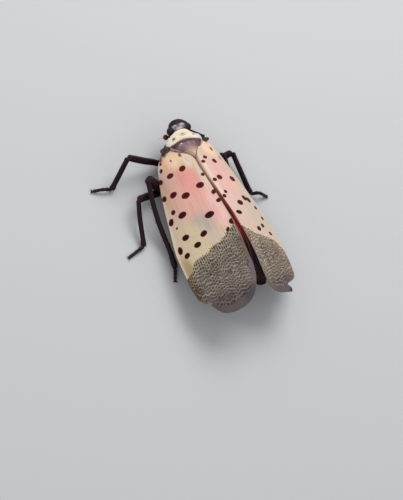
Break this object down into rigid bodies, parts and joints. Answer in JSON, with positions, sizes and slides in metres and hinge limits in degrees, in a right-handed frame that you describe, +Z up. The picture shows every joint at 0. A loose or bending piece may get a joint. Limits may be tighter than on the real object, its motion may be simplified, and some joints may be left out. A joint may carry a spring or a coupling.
{
  "type": "spotted lanternfly model",
  "caption": "Life-size still model of a spotted lanternfly at rest, with spotted fore wings held roof-like over the body, standing on slender legs.",
  "frame": {"origin": "middle of the model's box at floor level, on the plane of the soles", "axes": "-Y towards the head, +X towards the insect's left side, +Z up"},
  "size_m": [0.0212, 0.0254, 0.0071],
  "materials": {
    "head": "dark bumpy cuticle",
    "pronotum": "cream satin cuticle",
    "thorax": "purple-brown satin cuticle",
    "abdomen": "yellow with black bands",
    "eyes": "faceted, dark",
    "antennae": "orange-red",
    "fore_wings": "pinkish tan with black spots and a veined grey tip",
    "hind_wings": "red with black spots",
    "legs": "near-black satin cuticle"
  },
  "bodies": {
    "root": {"head": "head", "beak": "legs", "pronotum": "pronotum", "thorax": "thorax", "abdomen": "abdomen", "eye_left": "eyes", "eye_right": "eyes", "antenna_left": "antennae", "antenna_right": "antennae", "fore_wing_left": "fore_wings", "fore_wing_right": "fore_wings", "hind_wing_left": "hind_wings", "hind_wing_right": "hind_wings", "femur_fore_left": "legs", "femur_fore_right": "legs", "femur_mid_left": "legs", "femur_mid_right": "legs", "femur_hind_left": "legs", "femur_hind_right": "legs", "tibia_fore_left": "legs", "tibia_fore_right": "legs", "tibia_mid_left": "legs", "tibia_mid_right": "legs", "tibia_hind_left": "legs", "tibia_hind_right": "legs", "tarsus_fore_left": "legs", "tarsus_fore_right": "legs", "tarsus_mid_left": "legs", "tarsus_mid_right": "legs", "tarsus_hind_left": "legs", "tarsus_hind_right": "legs"}
  },
  "joints": []
}
